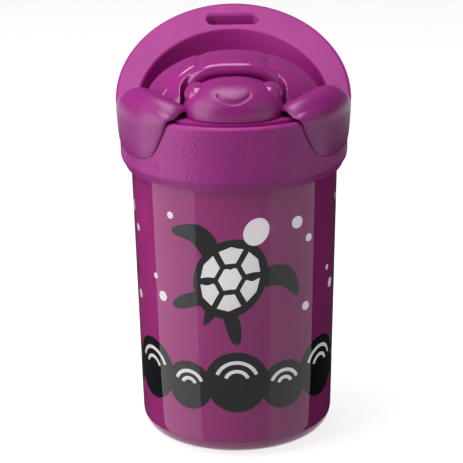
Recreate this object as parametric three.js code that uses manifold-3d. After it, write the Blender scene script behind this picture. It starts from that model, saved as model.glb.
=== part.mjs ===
// A toddler's sippy cup: a double-walled tumbler on a grip foot that lets go when it is lifted,
// a screw collar with a raised hood, and a flip-up cap shaped as a turtle over a soft spout.
// Millimetres, +Z up. The origin is on the cup's axis where it stands, and the turtle faces -Y.
import * as THREE from "three";
import { mergeVertices } from "three/addons/utils/BufferGeometryUtils.js";
import Module from "manifold-3d";

const wasm = await Module();
wasm.setup();

// ---------- driving dimensions ----------

const gap = 0.3; // between pieces that touch
const turnSides = 60; // sides of a full turn on the large rings
const smallSides = 28; // sides of a full turn on the small pieces

// Outer shell of the tumbler.
const shellFootZ = 0.6;
const shellTopZ = 105.5;
const shellFootRadius = 35.1;
const shellTopRadius = 37.8;
const shellCorner = 8.4;
const shellWall = 1.7;
const footHoleRadius = 25.5;

// Inner cup, which holds the drink and carries the neck.
const airGap = 1.2;
const cupWall = 1.8;
const cupFloorZ = 12;
const cupCorner = 7;
const neckRadius = 36.2;
const mouthRadius = 33.2;
const neckTopZ = 120.1;
const shoulderHeight = 1.3;

// Screw thread between neck and collar, right-handed, in three starts.
const threadStarts = 3;
const threadLead = 15;
const threadRootWidth = 2;
const threadCrestWidth = 1.1;
const neckThread = { root: neckRadius, crest: 37.5, lowZ: 110.2, span: 105 };
const collarThread = { root: 38.5, crest: 36.9, lowZ: 107.9, span: 95 };

// Grip foot: a soft pad on a sliding carrier, and the valve that vents it.
const padRadius = 22.8;
const padTopZ = 2.7;
const padChannelZ = 1.4;
const padChannel = [7, 18];
const padRingRadius = 22.2;
const carrierTopZ = 4.4;
const stemRadius = 4.2;
const stemTopZ = 11.2;
const stemGroove = { radius: 3.4, lowZ: 9.5, highZ: 10.7 };
const baseRoof = [carrierTopZ + gap, 6.2];
const ventY = 13;
const ventHoleRadius = 1.2;
const ventPlug = { shank: 1.4, head: 2.8, headHeight: 1, tip: 3, room: 3.6, grip: 0.1 };
const springWire = 0.4;
// The spring widens downwards, so that its turns close inside one another.
const springRadius = 5.7;
const springSpread = 3.2;
const springTurns = 3;
const springTurnSteps = 16;
const springSides = 6;

// Collar and hood. The hood's rim lies in a plane that rises towards the back.
const collarFootZ = 103.5;
const collarTopZ = 127.2;
const collarRadius = 41.4;
const collarBore = collarThread.root;
const lipBore = 38.4;
const ledge = [124, 125.8];
const wellRadius = 34.7;
const hoodWall = 2.5;
const rimSlope = Math.tan(THREE.MathUtils.degToRad(29));
const rimHeightAtAxis = 125.9;
const rimThickness = 5;
const rimRadius = 43.1;
const rimCentreY = 5.2;
const rimStartY = 0.5;
const strapSlot = { halfWidth: 9.7, y: [37.3, 42.1] };

// Lid deck, spout and valves.
const deck = [ledge[0] - gap - 1.8, ledge[0] - gap];
const deckRadius = 38.1;
const deckPlug = { outer: 32.7, inner: 31, lowZ: 117.6 };
const spoutY = -20;
const spoutFlatness = 0.7; // a spout's depth over its width
const spoutTopZ = 135.5;
const socket = { inner: 11.3, outer: 12.8, lowZ: 115.5 };
const valveFloorZ = 112.5;
const airVentY = 6;

// Flip-up cap: hinge, liner plate, turtle shell, head, eyes and flippers.
const hingeY = 25;
const hingeZ = 131;
const pinRadius = 1.4;
const pinHalfLength = 12.3;
const knuckleRadius = 3;
const knuckleHalfWidth = 8.6;
const earInner = knuckleHalfWidth + gap + 0.1;
const liner = [126.3, 128];
const linerApron = { radius: lipBore - 0.8, backY: -9 };
const shellDome = { centre: [0, 1, 124], halfWidth: 32.6, front: 33, back: 22.5, height: 20.4, wall: 2 };
const headArch = { halfWidth: 18.9, y: -12.5, corner: 6, wall: 1.8, footZ: 126, power: 3 };
const shellRidge = { radius: 2.4, sunk: 1.1, halfWidth: 16.7 };
const headForm = { centre: [0, -23, 129.6], size: [17.8, 14.6, 11], power: 2.2, wall: 2 };
const eyeForm = { centre: [12.7, -22.3, 134.7], size: [4.8, 6.8, 4.3], depth: 0.9 };
const plugSize = [6.6, 4.2];
const flipperThickness = 1.7;

// ---------- colours ----------

const purple = 0xa8328f;
const material = (color, roughness, metalness = 0) =>
  new THREE.MeshStandardMaterial({ color, roughness, metalness });
const softPurple = material(purple, 0.55);
const glossPurple = material(0x9c2a86, 0.12);
const tintedClear = material(0x7c2a66, 0.08);
const deepPurple = material(0x6d2257, 0.35);
const silicone = material(0xd9c3d6, 0.5);
const greyRubber = material(0x4a4a4e, 0.7);
const steel = material(0xb9bcc0, 0.3, 1);

// ---------- solids ----------

// A closed geometry as a manifold solid with its faces pointing out.
function solidOf(geometry) {
  const loose = geometry.index ? geometry.toNonIndexed() : geometry;
  const bare = new THREE.BufferGeometry();
  bare.setAttribute("position", loose.getAttribute("position"));
  const merged = mergeVertices(bare, 1e-4);
  const position = merged.getAttribute("position");
  const corner = [0, 1, 2].map(() => new THREE.Vector3());
  const faces = [];
  let volume = 0;
  for (let i = 0; i < merged.index.count; i += 3) {
    const face = [0, 1, 2].map((k) => merged.index.getX(i + k));
    if (new Set(face).size < 3) continue; // a triangle at the pole of a revolved shape
    face.forEach((v, k) => corner[k].fromBufferAttribute(position, v));
    volume += corner[0].dot(corner[1].clone().cross(corner[2]));
    faces.push(face);
  }
  if (volume < 0) faces.forEach((face) => face.reverse());
  const triVerts = new Uint32Array(faces.flat());
  return new wasm.Manifold(
    new wasm.Mesh({ numProp: 3, vertProperties: position.array, triVerts }),
  );
}

// A manifold solid as a geometry.
function geometryOf(solid) {
  const mesh = solid.getMesh();
  const geometry = new THREE.BufferGeometry();
  geometry.setAttribute("position", new THREE.BufferAttribute(mesh.vertProperties, 3));
  geometry.setIndex(new THREE.BufferAttribute(mesh.triVerts, 1));
  geometry.computeVertexNormals();
  return geometry;
}

// Points of an arc in the (radius, height) plane, from one angle to another in degrees.
function arc(r, z, radius, from, to, steps) {
  return Array.from({ length: steps + 1 }, (_, i) => {
    const a = THREE.MathUtils.degToRad(from + ((to - from) * i) / steps);
    return [r + radius * Math.cos(a), z + radius * Math.sin(a)];
  });
}

// A ring or a solid of revolution about Z, from its outline in the (radius, height) plane.
function revolve(outline, sides = turnSides) {
  const closesOnAxis = outline[0][0] === 0 && outline.at(-1)[0] === 0;
  const points = closesOnAxis ? outline : [...outline, outline[0]];
  const vectors = points.map(([r, z]) => new THREE.Vector2(r, z));
  return solidOf(new THREE.LatheGeometry(vectors, sides).rotateX(Math.PI / 2));
}

// A ring of rectangular section, or a disc when inner is 0.
function ring(inner, outer, low, high, sides = smallSides) {
  return revolve([[inner, low], [outer, low], [outer, high], [inner, high]], sides);
}

// A revolved shape squeezed to an oval and moved to a place.
function oval(outline, flatness, y, sides = smallSides) {
  const closesOnAxis = outline[0][0] === 0 && outline.at(-1)[0] === 0;
  const points = closesOnAxis ? outline : [...outline, outline[0]];
  const vectors = points.map(([r, z]) => new THREE.Vector2(r, z));
  const geometry = new THREE.LatheGeometry(vectors, sides).rotateX(Math.PI / 2);
  return solidOf(geometry.scale(1, flatness, 1).translate(0, y, 0));
}

function cylinder(radius, length, sides = smallSides) {
  return new THREE.CylinderGeometry(radius, radius, length, sides);
}

// A vertical cylinder from one height to another.
function post(x, y, radius, low, high, sides = smallSides) {
  const geometry = cylinder(radius, high - low, sides).rotateX(Math.PI / 2);
  return solidOf(geometry.translate(x, y, (low + high) / 2));
}

// A cylinder along X on the cap's hinge axis.
function hingeRod(radius, from, to, sides = smallSides) {
  const geometry = cylinder(radius, to - from, sides).rotateZ(Math.PI / 2);
  return solidOf(geometry.translate((from + to) / 2, hingeY, hingeZ));
}

function box(x, y, z) {
  const size = [x, y, z].map(([low, high]) => high - low);
  const middle = [x, y, z].map(([low, high]) => (low + high) / 2);
  return solidOf(new THREE.BoxGeometry(...size).translate(...middle));
}

function ellipsoid({ centre, size }, grow = 0, sides = 32) {
  const geometry = new THREE.SphereGeometry(1, sides, sides / 2).rotateX(Math.PI / 2);
  geometry.scale(...size.map((s) => s + grow));
  return solidOf(geometry.translate(...centre));
}

// The turtle's head: an ellipsoid with fuller corners, as a pebble has.
function headBlank(grow = 0, sides = 36) {
  const { centre, size, power } = headForm;
  const geometry = new THREE.SphereGeometry(1, sides, sides / 2).rotateX(Math.PI / 2);
  const position = geometry.getAttribute("position");
  for (let i = 0; i < position.count; i++) {
    const at = new THREE.Vector3().fromBufferAttribute(position, i);
    const sum = at.toArray().reduce((total, c) => total + Math.abs(c) ** power, 0);
    at.multiplyScalar(sum ** (-1 / power));
    position.setXYZ(i, ...at.toArray().map((c, k) => c * (size[k] + grow)));
  }
  return solidOf(geometry.translate(...centre));
}

// The turtle shell's dome: an ellipsoid that falls more steeply behind its crest.
function dome(grow = 0, sides = 40) {
  const { centre, halfWidth, front, back, height } = shellDome;
  const geometry = new THREE.SphereGeometry(1, sides, sides / 2).rotateX(Math.PI / 2);
  const position = geometry.getAttribute("position");
  for (let i = 0; i < position.count; i++) {
    const y = position.getY(i);
    position.setXYZ(
      i,
      position.getX(i) * (halfWidth + grow),
      y * ((y < 0 ? front : back) + grow),
      position.getZ(i) * (height + grow),
    );
  }
  return solidOf(geometry.translate(...centre));
}

// Prism along Z over a closed outline in the XY plane.
function prism(shape, low, high, curveSegments = 10) {
  const options = { depth: high - low, bevelEnabled: false, curveSegments };
  return solidOf(new THREE.ExtrudeGeometry(shape, options).translate(0, 0, low));
}

// ---------- threads ----------

// Thread ridges: a tapered rib that climbs one lead in a full turn, once for each start.
function threadRibs({ root, crest, lowZ, span }) {
  const steps = 14;
  const inward = Math.sign(crest - root);
  const rootSunk = root - inward * 0.4; // sunk into the wall that carries it
  const makeRib = (start) => {
    const sections = Array.from({ length: steps + 1 }, (_, i) => {
      const angle = THREE.MathUtils.degToRad((span * i) / steps);
      const z = lowZ + (threadLead * angle) / (2 * Math.PI);
      const ends = Math.min(1, i / 2, (steps - i) / 2); // ribs fade out at their ends
      const tip = root + (crest - root) * ends;
      const half = [threadRootWidth / 2, threadCrestWidth / 2];
      const corners = [
        [rootSunk, z - half[0]], [tip, z - half[1]],
        [tip, z + half[1]], [rootSunk, z + half[0]],
      ];
      const turn = start + angle;
      return corners.map(([r, h]) => [r * Math.cos(turn), r * Math.sin(turn), h]);
    });
    return solidOf(loft(sections));
  };
  const ribs = Array.from({ length: threadStarts }, (_, k) =>
    makeRib((2 * Math.PI * k) / threadStarts),
  );
  return ribs.reduce((all, rib) => all.add(rib));
}

// A closed surface over sections of equal point count, with flat ends.
function loft(sections) {
  const count = sections[0].length;
  const position = sections.flat(2);
  const index = [];
  for (let i = 0; i + 1 < sections.length; i++)
    for (let k = 0; k < count; k++) {
      const next = (k + 1) % count;
      const [a, b] = [i * count + k, i * count + next];
      const [c, d] = [a + count, b + count];
      index.push(a, b, d, a, d, c);
    }
  const last = (sections.length - 1) * count;
  for (let k = 1; k + 1 < count; k++) {
    index.push(0, k + 1, k);
    index.push(last, last + k, last + k + 1);
  }
  const geometry = new THREE.BufferGeometry();
  geometry.setAttribute("position", new THREE.Float32BufferAttribute(position, 3));
  return geometry.setIndex(index);
}

// ---------- tumbler ----------

const shellRadiusAt = (z) =>
  shellFootRadius + ((shellTopRadius - shellFootRadius) * z) / shellTopZ;

function outerShell() {
  const cornerZ = shellFootZ + shellCorner;
  const cornerR = shellRadiusAt(cornerZ) - shellCorner;
  const inner = shellCorner - shellWall;
  return revolve([
    [footHoleRadius, shellFootZ],
    ...arc(cornerR, cornerZ, shellCorner, -90, 0, 8),
    [shellTopRadius, shellTopZ],
    [shellTopRadius - shellWall, shellTopZ],
    ...arc(cornerR, cornerZ, inner, 0, -90, 6),
    [footHoleRadius, shellFootZ + shellWall],
  ]);
}

function innerCup() {
  const outerAt = (z) => shellRadiusAt(z) - shellWall - airGap;
  const cornerZ = cupFloorZ + cupCorner;
  const cornerR = outerAt(cornerZ) - cupCorner;
  const shoulderZ = shellTopZ + gap;
  const body = revolve([
    [0, cupFloorZ],
    ...arc(cornerR, cornerZ, cupCorner, -90, 0, 5),
    [outerAt(shoulderZ), shoulderZ],
    [shellTopRadius, shoulderZ],
    [shellTopRadius, shoulderZ + shoulderHeight],
    [neckRadius, shoulderZ + shoulderHeight + 0.6],
    [neckRadius, neckTopZ - 0.7],
    [neckRadius - 0.7, neckTopZ],
    [mouthRadius + 0.7, neckTopZ],
    [mouthRadius, neckTopZ - 0.7],
    [outerAt(shoulderZ) - cupWall, shoulderZ - 4],
    ...arc(cornerR, cornerZ, cupCorner - cupWall, 0, -90, 4),
    [0, cupFloorZ + cupWall],
  ]);
  return body.add(threadRibs(neckThread));
}

// Cover that closes the foot of the shell, with a recess for the grip pad below it.
function baseCap() {
  const [roofLow, roofHigh] = baseRoof;
  const plugRadius = footHoleRadius - gap;
  const skirtInner = padRadius + 0.7;
  const flangeZ = shellFootZ + shellWall + gap;
  const guide = { inner: stemRadius + gap, outer: stemRadius + gap + 0.7, height: 0.8 };
  const cover = revolve([
    [guide.inner, roofLow],
    [skirtInner, roofLow],
    [skirtInner, shellFootZ + 0.4],
    [plugRadius, shellFootZ + 0.4],
    [plugRadius, flangeZ],
    [footHoleRadius + 2, flangeZ],
    [footHoleRadius + 2, roofHigh],
    [guide.outer, roofHigh],
    [guide.outer, roofHigh + guide.height],
    [guide.inner, roofHigh + guide.height],
  ]);
  return cover.subtract(post(0, ventY, ventPlug.shank + gap, roofLow - 1, roofHigh + 1));
}

// ---------- grip foot ----------

function gripPad() {
  const [channelInner, channelOuter] = padChannel;
  const pad = revolve([
    [0, 0],
    [channelInner - 0.8, 0],
    [channelInner, padChannelZ],
    [channelOuter, padChannelZ],
    [channelOuter + 0.8, 0],
    [padRingRadius, 0],
    [padRadius, 0.8],
    [padRadius, padTopZ],
    [0, padTopZ],
  ]);
  return pad.subtract(post(0, ventY, ventHoleRadius, -1, padTopZ + 1));
}

function padCarrier() {
  const plate = revolve([
    [0, padTopZ + gap],
    [padRadius - 1.2, padTopZ + gap],
    [padRadius - 1.2, carrierTopZ],
    [stemRadius, carrierTopZ],
    [stemRadius, stemGroove.lowZ],
    [stemGroove.radius, stemGroove.lowZ],
    [stemGroove.radius, stemGroove.highZ],
    [stemRadius - 0.2, stemGroove.highZ],
    [stemRadius - 0.5, stemTopZ],
    [0, stemTopZ],
  ], 36);
  return plate.subtract(post(0, ventY, ventPlug.room, padTopZ, carrierTopZ + 1));
}

// Split ring that snaps into the stem's groove and carries the top of the spring.
function stemClip() {
  const low = stemGroove.lowZ + 0.1;
  const clip = ring(stemGroove.radius + gap, springRadius + 1.3, low, low + 0.8);
  return clip.subtract(box([0, 10], [-1.1, 1.1], [low - 1, low + 2]));
}

function releaseSpring() {
  const low = baseRoof[1] + gap + springWire;
  const high = stemGroove.lowZ + 0.1 - gap - springWire;
  const steps = springTurns * springTurnSteps;
  const sections = Array.from({ length: steps + 1 }, (_, i) => {
    const turn = (2 * Math.PI * springTurns * i) / steps;
    const z = low + ((high - low) * i) / steps;
    return Array.from({ length: springSides }, (_, k) => {
      const a = (2 * Math.PI * k) / springSides;
      const middle = springRadius + springSpread * (1 - i / steps);
      const r = middle + springWire * Math.cos(a);
      return [r * Math.cos(turn), r * Math.sin(turn), z + springWire * Math.sin(a)];
    });
  });
  return solidOf(loft(sections));
}

// Pin that holds the vent's plug. It hangs from the base cap, so it rises with the cup.
function ventPin() {
  const { shank, head, headHeight, grip } = ventPlug;
  const low = baseRoof[1] + gap;
  const stem = post(0, ventY, shank, carrierTopZ - grip, low + 0.2, 20);
  return stem.add(post(0, ventY, head, low, low + headHeight, 20));
}

function ventTip() {
  const { tip, grip } = ventPlug;
  return post(0, ventY, tip, padTopZ + gap - grip, carrierTopZ - grip - gap, 20);
}

// ---------- collar ----------

// The half-space under the hood's sloping rim, as a large slab, its top moved by an offset.
function underRimPlane(offset) {
  const [front, back, depth] = [-70, 70, 90];
  const top = (y) => rimHeightAtAxis + offset + rimSlope * y;
  const side = new THREE.Shape([
    new THREE.Vector2(front, top(front) - depth),
    new THREE.Vector2(back, top(front) - depth),
    new THREE.Vector2(back, top(back)),
    new THREE.Vector2(front, top(front)),
  ]);
  const slab = new THREE.ExtrudeGeometry(side, { depth: 140, bevelEnabled: false });
  // The outline's axes are Y and Z, so the prism is turned to run along X.
  slab.applyMatrix4(new THREE.Matrix4().makeBasis(
    new THREE.Vector3(0, 1, 0), new THREE.Vector3(0, 0, 1), new THREE.Vector3(1, 0, 0)));
  return solidOf(slab.translate(-70, 0, 0));
}

function circle(x, y, radius) {
  return new THREE.Shape().absarc(x, y, radius, 0, 2 * Math.PI);
}

// Sloping rim of the hood, with the slot for a strap.
function hoodRim() {
  const high = 160;
  const band = prism(circle(0, rimCentreY, rimRadius), 100, high, turnSides)
    .subtract(ring(0, wellRadius, 90, high + 10, turnSides))
    .intersect(underRimPlane(0))
    .subtract(underRimPlane(-rimThickness))
    .intersect(box([-50, 50], [rimStartY, 60], [ledge[0] + 0.2, high]));
  const [front, back] = strapSlot.y;
  const end = (back - front) / 2;
  const reach = strapSlot.halfWidth - end;
  const slot = new THREE.Shape();
  slot.absarc(reach, front + end, end, -Math.PI / 2, Math.PI / 2, false);
  slot.absarc(-reach, front + end, end, Math.PI / 2, 1.5 * Math.PI, false);
  return band.subtract(prism(slot, 100, high, 8));
}

function collar() {
  const band = revolve([
    [collarBore, collarFootZ],
    [collarRadius - 1.8, collarFootZ],
    ...arc(collarRadius - 3.2, collarFootZ + 4.2, 3.2, -40, 0, 3),
    ...arc(collarRadius - 1.6, collarTopZ - 1.6, 1.6, 0, 90, 4),
    [lipBore + 0.9, collarTopZ],
    [lipBore, collarTopZ - 0.9],
    [lipBore, ledge[1]],
    [wellRadius, ledge[1]],
    [wellRadius, ledge[0]],
    [collarBore, ledge[0]],
  ]);
  const hood = ring(wellRadius, wellRadius + hoodWall, ledge[0] + 0.5, 160, turnSides)
    .intersect(underRimPlane(-0.4));
  // Behind the axis the rim's foot is solid up to the top of the collar's band.
  const backFill = ring(wellRadius, collarRadius - 1, ledge[0] + 0.2, collarTopZ - 0.6, turnSides)
    .intersect(box([-50, 50], [rimStartY, 50], [110, 140]));
  return band.add(hood).add(backFill).add(hoodRim()).add(threadRibs(collarThread));
}

// ---------- lid deck, spout, valves ----------

function lidDeck() {
  const [low, high] = deck;
  const plate = revolve([
    [0, low],
    [deckPlug.inner, low],
    [deckPlug.inner, deckPlug.lowZ],
    [deckPlug.outer - 0.6, deckPlug.lowZ],
    [deckPlug.outer, deckPlug.lowZ + 0.8],
    [deckPlug.outer, low],
    [deckRadius, low],
    [deckRadius, high],
    [0, high],
  ]);
  const socketFlatness = (socket.inner - 2.6) / socket.inner;
  const socketWall = oval(
    [[socket.inner, socket.lowZ], [socket.outer, socket.lowZ],
      [socket.outer, low + 0.3], [socket.inner, low + 0.3]],
    socketFlatness, spoutY);
  const spoutHole = oval(
    [[0, low - 2], [7.9, low - 2], [7.9, high + 2], [0, high + 2]], spoutFlatness, spoutY);
  let body = plate.add(socketWall);
  for (const side of [-1, 1]) {
    const [from, to] = [earInner, pinHalfLength + 0.3].map((x) => x * side).sort((a, b) => a - b);
    body = body
      .add(hingeRod(knuckleRadius + 0.2, from, to))
      .add(box([from, to], [hingeY - 3, hingeY + 3], [high - 0.3, hingeZ]));
  }
  const ventHoles = [-3, 3].map((x) => post(x, airVentY, 0.9, low - 1, high + 1, 12));
  return [
    spoutHole,
    hingeRod(pinRadius + gap, -20, 20),
    post(0, airVentY, 1.6, low - 1, high + 1, 16),
    ...ventHoles,
  ].reduce((rest, cut) => rest.subtract(cut), body);
}

function sealRing() {
  return revolve([
    [mouthRadius + 0.3, neckTopZ + gap],
    [neckRadius - 0.2, neckTopZ + gap],
    [neckRadius - 0.2, deck[0] - gap],
    [mouthRadius + 0.3, deck[0] - gap],
  ]);
}

// Soft spout: a flange under the deck, a waist in the deck's hole, and a hollow lip-shaped stem.
function spout() {
  const flangeZ = deck[0] - gap;
  const lowZ = flangeZ - 1.3;
  const topWall = 1.5;
  const skin = oval([
    [0, lowZ], [11, lowZ], [11, flangeZ], [7.5, flangeZ],
    [7.5, deck[1] + gap], [9.2, deck[1] + gap + 0.2], [8.3, deck[1] + 3], [7.6, deck[1] + 7],
    ...arc(6.2, spoutTopZ - 1.9, 1.9, 0, 90, 4),
    [0, spoutTopZ],
  ], spoutFlatness, spoutY);
  const hollow = oval(
    [[0, lowZ - 1], [5.6, lowZ - 1], [5.6, spoutTopZ - topWall - 1],
      [4.6, spoutTopZ - topWall], [0, spoutTopZ - topWall]], spoutFlatness * 0.9, spoutY);
  const slit = box([-2.6, 2.6], [spoutY - 0.35, spoutY + 0.35], [spoutTopZ - 4, spoutTopZ + 1]);
  return skin.subtract(hollow).subtract(slit);
}

// Rigid cup that plugs into the deck's socket below the spout and holds the flow valve.
const valveOuter = socket.inner - gap;
const valveFlatness = (valveOuter - 2.6) / valveOuter;
const membraneZ = 116.4;

function valveCup() {
  const top = deck[0] - 1.3 - 2 * gap;
  return oval([
    [3, valveFloorZ], [valveOuter - 1.2, valveFloorZ], [valveOuter, valveFloorZ + 1.2],
    [socket.outer, valveFloorZ + 1.4], [socket.outer, socket.lowZ - gap],
    [valveOuter, socket.lowZ - gap], [valveOuter, top], [valveOuter - 1.4, top],
    [valveOuter - 1.4, membraneZ], [valveOuter - 2.2, membraneZ - 0.4],
    [valveOuter - 2.2, valveFloorZ + 1.3], [3, valveFloorZ + 1.3],
  ], valveFlatness, spoutY);
}

// Silicone membrane with a raised lip and a slit, which opens under suction.
function valveMembrane() {
  const outer = valveOuter - 1.4 - gap;
  const low = membraneZ + gap;
  const disc = oval([
    [0, low], [outer, low], [outer, low + 2], [outer - 1.2, low + 2],
    [outer - 1.2, low + 0.9], [4, low + 0.9], [3, low + 2], [0, low + 2],
  ], valveFlatness, spoutY);
  return disc.subtract(box([-1.8, 1.8], [spoutY - 0.3, spoutY + 0.3], [low - 1, low + 3]));
}

// Umbrella valve that lets air in as the child drinks.
function airVent() {
  const [low, high] = deck;
  const valve = revolve([
    [0, low - gap - 0.9], [4.2, low - gap - 0.7], [4.6, low - gap], [1.3, low - gap],
    [1.3, high + gap], [2.3, high + gap], [1, high + 1.7], [0, high + 1.7],
  ], 20);
  return valve.translate([0, airVentY, 0]);
}

// ---------- flip-up cap ----------

// Plate that carries the cap's pieces, with the hinge knuckle at its back.
function capLiner() {
  const [low, high] = liner;
  const egg = new THREE.Shape().absellipse(0, -1, 32.4, 24.5, 0, 2 * Math.PI);
  const chin = new THREE.Shape().absellipse(0, headForm.centre[1], 16.4, 14, 0, 2 * Math.PI);
  const spoutGap = new THREE.Shape().absellipse(0, spoutY, 11.4, 8.4, 0, 2 * Math.PI);
  const web = box([-knuckleHalfWidth, knuckleHalfWidth], [18, hingeY - 0.5], [low, hingeZ + 1]);
  // The front reaches almost to the collar's lip, so that the ledge below it is covered.
  const { radius, backY } = linerApron;
  const apron = prism(circle(0, 0, radius), low, high, turnSides)
    .intersect(box([-radius, radius], [-radius, backY], [low - 1, high + 1]));
  const plate = prism(egg, low, high, 44).add(prism(chin, low, high, 32)).add(apron);
  const notches = [-1, 1].map((side) => {
    const edges = [knuckleHalfWidth, pinHalfLength + 1].map((x) => x * side);
    return box(edges.sort((a, b) => a - b), [hingeY - 4.6, hingeY + 6], [low - 1, hingeZ + 5]);
  });
  return [
    prism(spoutGap, low - 1, high + 1, 28),
    ...notches,
    hingeRod(pinRadius + gap, -20, 20),
  ].reduce(
    (rest, cut) => rest.subtract(cut),
    plate.add(web).add(hingeRod(knuckleRadius, -knuckleHalfWidth, knuckleHalfWidth)),
  );
}

// Rounded ridge over the head, on the edge of the arch that the head comes out of.
function archRidge(grow = 0) {
  const { centre, front, height } = shellDome;
  const crest = centre[2] + height * Math.sqrt(1 - ((headArch.y - centre[1]) / front) ** 2);
  const rise = crest - shellRidge.sunk - headArch.footZ;
  const bend = 2 / headArch.power;
  const radius = shellRidge.radius + grow;
  const steps = 30;
  const sides = 8;
  const path = Array.from({ length: steps + 1 }, (_, i) => {
    const t = Math.PI * (0.02 + (0.96 * i) / steps);
    const x = Math.sign(Math.cos(t)) * Math.abs(Math.cos(t)) ** bend;
    const z = Math.sin(t) ** bend;
    return new THREE.Vector2(shellRidge.halfWidth * x, headArch.footZ + rise * z);
  });
  const sections = path.map((middle, i) => {
    const before = path[Math.max(0, i - 1)];
    const after = path[Math.min(steps, i + 1)];
    const along = after.clone().sub(before).normalize();
    return Array.from({ length: sides }, (_, k) => {
      const turn = (2 * Math.PI * k) / sides;
      const reach = radius * Math.cos(turn);
      const y = headArch.y + 0.4 + radius * Math.sin(turn);
      return [middle.x + along.y * reach, y, middle.y - along.x * reach];
    });
  });
  return solidOf(loft(sections));
}

// Room for the head in the front of the shell, widened by a wall's thickness where asked.
function archRoom(grow = 0) {
  const { halfWidth, y, corner } = headArch;
  const [reach, back, round] = [halfWidth + grow, y + grow, corner + grow];
  const outline = new THREE.Shape();
  outline.moveTo(-reach, -60).lineTo(reach, -60).lineTo(reach, back - round);
  outline.absarc(reach - round, back - round, round, 0, Math.PI / 2, false);
  outline.lineTo(round - reach, back);
  outline.absarc(round - reach, back - round, round, Math.PI / 2, Math.PI, false);
  return prism(outline.closePath(), 100, 160, 6);
}

// Domed turtle shell, hollow underneath, with an arch for the head and room for the hinge.
function turtleShell() {
  const floor = box([-60, 60], [-60, 60], [90, liner[1] + gap]);
  const hingeRoom = box([-pinHalfLength - 1, pinHalfLength + 1], [17.5, 40], [100, hingeZ + 4.2]);
  const archWall = dome().intersect(archRoom(headArch.wall));
  return dome()
    .subtract(dome(-shellDome.wall, 32))
    .add(archWall)
    .subtract(archRoom())
    .add(archRidge())
    .subtract(floor)
    .subtract(headBlank(gap))
    .subtract(hingeRoom);
}

function eyeBlank(side, grow = 0) {
  const [x, y, z] = eyeForm.centre;
  return ellipsoid({ centre: [side * x, y, z], size: eyeForm.size }, grow, 20);
}

function eyePocket(side) {
  return eyeBlank(side, gap).subtract(headBlank(-eyeForm.depth - gap));
}

// Round head with a smile pressed into it and a pocket for each eye, hollow over the spout.
function turtleHead() {
  const [, y, z] = headForm.centre;
  const floor = box([-60, 60], [-60, 60], [90, liner[1] + gap]);
  const smile = new THREE.TorusGeometry(6.4, 0.7, 8, 14, THREE.MathUtils.degToRad(84));
  smile.rotateZ(THREE.MathUtils.degToRad(228)).rotateX(Math.PI / 2 - 0.25);
  const front = y - headForm.size[1];
  smile.scale(1, 1.6, 1).translate(0, front + 1.6, z + 10.2);
  return headBlank()
    .subtract(headBlank(-headForm.wall, 28))
    .subtract(floor)
    .subtract(capTube(smile))
    .subtract(eyePocket(-1))
    .subtract(eyePocket(1));
}

// The hull of a short open tube's points would fill its bend, so its two ends are closed instead.
function capTube(tube) {
  const rings = 15;
  const sides = 8;
  const position = tube.getAttribute("position");
  const sections = Array.from({ length: rings }, (_, i) =>
    Array.from({ length: sides }, (_, k) => {
      const at = k * rings + i; // TorusGeometry stores one row of rings for each side
      return [position.getX(at), position.getY(at), position.getZ(at)];
    }),
  );
  return solidOf(loft(sections));
}

function eye(side) {
  return eyeBlank(side)
    .subtract(headBlank(-eyeForm.depth))
    .subtract(archRidge(gap));
}

// Soft bung inside the head that closes the spout's slit when the cap is shut.
function spoutPlug() {
  const [width, depth] = plugSize;
  const low = spoutTopZ + gap;
  const bung = oval([[0, low], [width, low], [width, low + 4], [0, low + 4]], depth / width, spoutY);
  return bung.intersect(headBlank(-headForm.wall - gap));
}

// Underside of a flipper in the (radius, height) plane: from its root on the cap, over the
// collar's lip and down the outside. Its crest is lower at the front edge.
function flipperPath(angle) {
  const rise = THREE.MathUtils.smoothstep(angle, 26, 58);
  const crest = 130.2 + 2.6 * rise;
  const points = [
    [27.5, 128.4], [31, 129.4 + rise], [35.2, crest], [39, crest - 1.8], [41.7, 127.6],
    [41.8, 122], [41.75, 112],
  ].map(([r, z]) => new THREE.Vector3(r, z, 0));
  return new THREE.CatmullRomCurve3(points, false, "centripetal");
}

// Outline of a flipper: the angle round the cup from its front, and the share of its path.
const flipperOutline = [
  [30, 0.16], [31, 0.33], [32.5, 0.5], [34.5, 0.66], [37.5, 0.82], [44, 0.95], [54, 1],
  [67, 1], [79, 0.97], [86, 0.88], [87, 0.76], [84.5, 0.62], [80, 0.46], [74, 0.3], [69, 0.14],
  [58, 0.03], [45, 0], [34, 0.03],
];
const flipperMiddle = [58, 0.5];

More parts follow.
